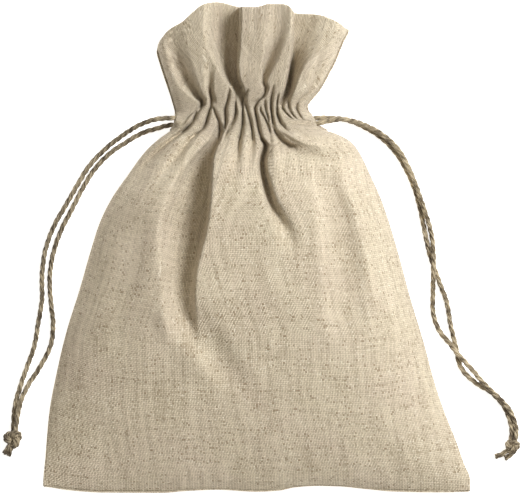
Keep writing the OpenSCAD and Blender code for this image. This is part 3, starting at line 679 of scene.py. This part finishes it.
def frontHeight(x, y, u):
    seam = lipHeight(y, cordSlit["frontLip"])
    crown = smooth(form["crown"], y) + smooth(form["seam"], y) - seam
    square = smooth(form["square"], y)
    root = smooth(form["root"], y)
    foot = y - smooth(bottomEdge, x)
    section = np.clip(1 - np.abs(2 * u - 1) ** square, 0, 1) ** root
    rim = 1 - np.exp(-np.clip(foot, 0, None) / cloth["rimWidth"])
    drop = sum(foldDrop(x, y, s, flat) for flat, s in broadFolds.values())
    drop = drop + cloth["pleatDepth"] * np.max([foldDrop(x, y, s) for s in pleats.values()], axis=0)
    near = np.clip(1 - np.abs(2 * u - 1) ** 8, 0, 1)
    wrinkle = sum(share * rippleAt(x, y, scale, seed) for scale, seed, share in wrinkles)
    wrinkle = wrinkle * cloth["ripple"] * 2
    return seam + crown * section * rim + (wrinkle - drop) * near * rim


def outlineRows(look):
    # x, y and share across for every row from the bottom seam to the folded top edge
    u = np.linspace(0, 1, look["columns"] + 1)
    foot = smooth(bottomEdge, bottomEdge[0][0] + (bottomEdge[-1][0] - bottomEdge[0][0]) * u)
    top = smooth(topEdge, topEdge[0][0] + (topEdge[-1][0] - topEdge[0][0]) * u)
    neck, header = look["neckLine"], look["headerLine"]
    rows = [foot + (neck - foot) * v ** 1.2 for v in np.linspace(0, 1, look["bodyRows"], endpoint=False)]
    rows += [np.full(len(u), v) for v in np.linspace(neck, header, look["neckRows"], endpoint=False)]
    rows += [header + (top - header) * v for v in np.linspace(0, 1, look["headerRows"] + 1)]
    y = np.array(rows)
    across = np.broadcast_to(u, y.shape)
    left, right = smooth(leftEdge, y), smooth(rightEdge, y)
    return left + (right - left) * across, y, across


def gridFaces(rows, columns, flip=False):
    i, j = np.meshgrid(np.arange(columns), np.arange(rows))
    a = (j * (columns + 1) + i).ravel()
    b, c, d = a + 1, a + columns + 2, a + columns + 1
    quads = np.stack([a, b, c, d], axis=1)
    return quads[:, ::-1] if flip else quads


def clothUvs(points, flatWidth, flatShare):
    # cloth coordinates: measured along each row and each column, then set to the flat width
    rowSteps = np.linalg.norm(np.diff(points, axis=1), axis=2)
    s = np.concatenate([np.zeros((len(points), 1)), np.cumsum(rowSteps, axis=1)], axis=1)
    # gathers are partly too fine to model, so a gathered row keeps nearly its own width
    s = (s / s[:, -1:] - 0.5) * flatWidth ** flatShare * s[:, -1:] ** (1 - flatShare)
    columnSteps = np.linalg.norm(np.diff(points, axis=0), axis=2)
    t = np.concatenate([np.zeros((1, points.shape[1])), np.cumsum(columnSteps, axis=0)], axis=0)
    return np.stack([s, t], axis=2) * mm


def withFacing(points, look, inward):
    # rolls the top edge over and runs the second layer down inside the header
    top = points[-1]
    below = points[-1] - points[-4]
    below = below / np.linalg.norm(below, axis=1)[:, None]
    radius = look["hemRadius"]
    rows = [points]
    for k in range(1, look["foldRows"] + 1):
        a = math.pi * k / look["foldRows"]
        rolled = top + below * radius * math.sin(a) * 0.6
        rolled[:, 2] += inward * radius * (1 - math.cos(a))
        rows.append(rolled[None])
    share = np.linspace(0, 1, look["facingRows"] + 1)[1:]
    height = points[:, :, 1]
    for s in share:
        y = top[:, 1] + s * (look["facingEnd"] - top[:, 1])
        row = np.empty_like(top)
        for c in range(top.shape[0]):
            row[c, 0] = np.interp(y[c], height[:, c], points[:, c, 0])
            row[c, 2] = np.interp(y[c], height[:, c], points[:, c, 2])
        row[:, 1] = y
        row[:, 2] += inward * 2 * radius
        rows.append(row[None])
    return np.concatenate(rows)


def clothPiece(name, points, inward, flip, replaced):
    rows, columns = points.shape[0] - 1, points.shape[1] - 1
    uvs = clothUvs(points, cloth["flatWidth"], cloth["flatShare"])
    faces = gridFaces(rows, columns, flip)
    piece = meshPiece(name, points.reshape(-1, 3), faces, uvs.reshape(-1, 2), linen)
    solid = piece.modifiers.new("clothThickness", "SOLIDIFY")
    solid.thickness = cloth["thickness"] * mm
    solid.offset = -1
    bpy.context.view_layer.objects.active = piece
    piece.select_set(True)
    bpy.ops.object.modifier_apply(modifier=solid.name)
    piece.select_set(False)
    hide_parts(*replaced)
    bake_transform(piece)
    return piece


def frontCloth():
    x, y, u = outlineRows(cloth)
    z = frontHeight(x, y, u)
    points = withFacing(np.stack([x, y, z], axis=2), cloth, -1)
    piece = clothPiece("front_linen", points, -1, False,
                       ["front_panel", "front_channel", "front_header", "front_facing"])
    return points


back = dict(cloth, columns=160, bodyRows=60, neckRows=52, headerRows=34, pleatCount=15, pleatDepth=5.4,
            fluteCount=3.5, fluteDepth=3.3, floorGap=0.5, drop=0.6, dropReach=30, rimWidth=0.8,
            gatherAt=47, gatherReach=13.0, fluteStart=54, fluteReach=26.0)


def backHeight(x, y, u):
    seam = lipHeight(y, cordSlit["backLip"])
    foot = y - smooth(bottomEdge, x)
    rim = 1 - np.exp(-np.clip(foot, 0, None) / back["rimWidth"])
    section = np.clip(1 - np.abs(2 * u - 1) ** 5, 0, 1) ** 0.5
    flat = seam - (seam - back["floorGap"]) * section * rim
    gather = np.exp(-((y - back["gatherAt"]) / back["gatherReach"]) ** 2)
    wave = 0.5 - 0.5 * np.cos(2 * math.pi * (back["pleatCount"] * u + 0.25 * np.sin(7 * u + 0.05 * y)))
    flute = 0.5 - 0.5 * np.cos(2 * math.pi * back["fluteCount"] * (u + 0.04))
    header = np.clip((y - back["fluteStart"]) / back["fluteReach"], 0, 1)
    lift = back["pleatDepth"] * gather * wave ** 2 + back["fluteDepth"] * header * flute
    near = np.clip(1 - np.abs(2 * u - 1) ** 6, 0, 1)
    return flat + lift * near


def backCloth():
    x, y, u = outlineRows(back)
    header = np.clip((y - back["headerLine"]) / back["dropReach"], 0, 1)
    z = backHeight(x, y, u)
    points = withFacing(np.stack([x, y - header * back["drop"], z], axis=2), cloth, 1)
    piece = clothPiece("back_linen", points, 1, True,
                       ["back_panel", "back_channel", "back_header", "back_facing"])
    return points


backGrid = backCloth()
print("back cloth made")
frontGrid = frontCloth()
print("front cloth made")


# seams and channel stitching
edging = {"radius": 0.3, "sides": 10, "step": 0.9, "inset": 0.35, "sink": 0.1,
          "pouch": (-86, 41.4), "header": (48.6, 69.8)}  # open between, round the cords


def seamPiece(name, line, replaced):
    points, faces, uvs = tubeParts(line, edging["radius"], edging["sides"])
    piece = meshPiece(name, points, faces, uvs, linen)
    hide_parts(*replaced)
    return piece


def sideLine(edge, low, high):
    y = np.arange(low, high, edging["step"])
    x = smooth(edge, y)
    return np.stack([x - np.sign(x) * edging["inset"], y, smooth(form["seam"], y) - edging["sink"]], axis=1)


for side, edge in [("left", leftEdge), ("right", rightEdge)]:
    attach(seamPiece(side + "_side_seam_edge", sideLine(edge, *edging["pouch"]),
                      [side + "_side_seam", side + "_seam_stitches"]), "pouch")
    upper = seamPiece(side + "_header_seam_edge", sideLine(edge, *edging["header"]),
                      [side + "_header_seam"])
    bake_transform(upper)
x = np.arange(-76.5, 76.6, 1.0)
bottomLine = np.stack([x, smooth(bottomEdge, x), np.full(len(x), form["seam"][0][1])], axis=1)
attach(seamPiece("bottom_seam_edge", bottomLine, ["bottom_seam", "bottom_seam_stitches"]), "pouch")

stitch = {"length": 2.2, "pitch": 3.2, "radius": 0.17, "startGap": 3.0, "endGap": 5.0,
          "rows": {"lower": 41.8, "upper": 48.4}}


def makeStitch(look):
    # one thread: a slim bar along X whose ends dive into the cloth
    bpy.ops.object.select_all(action="DESELECT")
    bpy.ops.mesh.primitive_cylinder_add(vertices=8, radius=look["radius"] * mm, depth=look["length"] * mm,
                                        rotation=(0, math.pi / 2, 0))
    bar = bpy.context.object
    bpy.ops.object.transform_apply(rotation=True)
    bpy.ops.object.mode_set(mode="EDIT")
    for share in (-0.3, 0, 0.3):
        bpy.ops.mesh.select_all(action="SELECT")
        bpy.ops.mesh.bisect(plane_co=(share * look["length"] * mm, 0, 0), plane_no=(1, 0, 0))
    bpy.ops.object.mode_set(mode="OBJECT")
    for v in bar.data.vertices:
        v.select = abs(v.co.x) > 0.45 * look["length"] * mm
    bpy.ops.object.mode_set(mode="EDIT")
    bpy.ops.transform.resize(value=(1, 0.6, 0.6))
    bpy.ops.transform.translate(value=(0, 0, -1.1 * look["radius"] * mm))
    bpy.ops.object.mode_set(mode="OBJECT")
    bpy.ops.object.shade_smooth()
    bar.data.materials.append(thread)
    return bar


def stitchRow(name, y, points, outward, node):
    # the same stitch copied along the cloth at one height, in and out of its pleats
    rowHeights = points[: cloth["bodyRows"] + cloth["neckRows"], points.shape[1] // 2, 1]
    row = points[np.argmin(np.abs(rowHeights - y))]
    walked = np.concatenate([[0], np.cumsum(np.linalg.norm(np.diff(row, axis=0), axis=1))])
    copies = []
    pattern = makeStitch(stitch)
    for start in np.arange(stitch["startGap"], walked[-1] - stitch["endGap"], stitch["pitch"]):
        span = [start, start + stitch["length"]]
        ends = np.stack([np.interp(span, walked, row[:, a]) for a in range(3)], axis=1)
        heading = Vector(ends[1] - ends[0]).normalized()
        side = Vector((0, outward, 0))
        turn = Matrix((heading, side, heading.cross(side))).transposed()
        copy = pattern.copy()
        copy.data = pattern.data.copy()
        bpy.context.scene.collection.objects.link(copy)
        middle = Vector(ends.mean(axis=0)) + Vector((0, 0, 0.6 * stitch["radius"] * outward))
        copy.matrix_world = Matrix.Translation(middle * mm) @ turn.to_4x4()
        copies.append(copy)
    bpy.data.objects.remove(pattern)
    bpy.ops.object.select_all(action="DESELECT")
    for copy in copies:
        copy.select_set(True)
    bpy.context.view_layer.objects.active = copies[0]
    bpy.ops.object.join()
    piece = bpy.context.object
    piece.name = name
    bpy.ops.object.transform_apply(location=True, rotation=True, scale=True)
    bpy.ops.object.select_all(action="DESELECT")
    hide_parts(node)
    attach(piece, "pouch")


for place, y in stitch["rows"].items():
    stitchRow(f"front_channel_{place}_thread", y, frontGrid, 1, f"front_channel_{place}_stitches")
    stitchRow(f"back_channel_{place}_thread", y, backGrid, -1, f"back_channel_{place}_stitches")
print("seams and stitches made")


# floor and light
studio = {
    "floor": (0.93, 0.93, 0.92, 1), "floorSize": 24,
    "backdrop": {"radius": 11.9, "height": 9.0, "sunk": 0.01, "colour": (1.0, 1.0, 0.995, 1)},
    "glow": 0.75,  # the table top is lit from below
    "key": {"at": (0.66, 0.48, 0.90), "size": 0.5, "watts": 15.8},
    "sky": {"strength": 0.38, "colour": (1.0, 0.93, 0.80, 1)},
}


def makeFloor():
    bpy.ops.mesh.primitive_plane_add(size=studio["floorSize"], location=(0, 0, 0))
    floor = bpy.context.object
    floor.name = "studio_floor"
    f = Finish("paleFloor", Roughness=0.9, Emission_Color=(1, 1, 1, 1), Emission_Strength=studio["glow"])
    place = f.node("TexCoord", out=3)
    grain = f.node("TexNoise", None, {"Vector": place, "Scale": 30.0}, out=0)
    f.feed("Base Color", f.mix(grain, studio["floor"], tuple(c * 0.99 for c in studio["floor"][:3]) + (1,)))
    floor.data.materials.append(f.material)


def makeBackdrop(look):
    # a pale wall far off for the low views, which gives the pouch no light
    bpy.ops.mesh.primitive_cylinder_add(vertices=64, radius=look["radius"], depth=look["height"],
                                        end_fill_type="NOTHING",
                                        location=(0, 0, look["height"] / 2 - look["sunk"]))
    wall = bpy.context.object
    wall.name = "studio_backdrop"
    f = Finish("paleWall", Roughness=1.0, Emission_Color=look["colour"], Emission_Strength=1.0)
    wall.data.materials.append(f.material)
    wall.visible_diffuse = wall.visible_glossy = wall.visible_shadow = False


def areaLight(name, setup):
    data = bpy.data.lights.new(name, "AREA")
    data.shape = "DISK"
    data.size = setup["size"]
    data.energy = setup["watts"]
    lamp = bpy.data.objects.new(name, data)
    lamp.location = setup["at"]
    lamp.rotation_euler = (-Vector(setup["at"])).to_track_quat("-Z", "Y").to_euler()
    bpy.context.scene.collection.objects.link(lamp)


def makeSky(look):
    world = bpy.data.worlds.new("softRoom")
    world.use_nodes = True
    world.node_tree.nodes["Background"].inputs[0].default_value = look["colour"]
    world.node_tree.nodes["Background"].inputs[1].default_value = look["strength"]
    bpy.context.scene.world = world


makeFloor()
makeBackdrop(studio["backdrop"])
areaLight("key", studio["key"])
makeSky(studio["sky"])
bpy.context.scene.view_settings.view_transform = "Standard"
print("studio made")
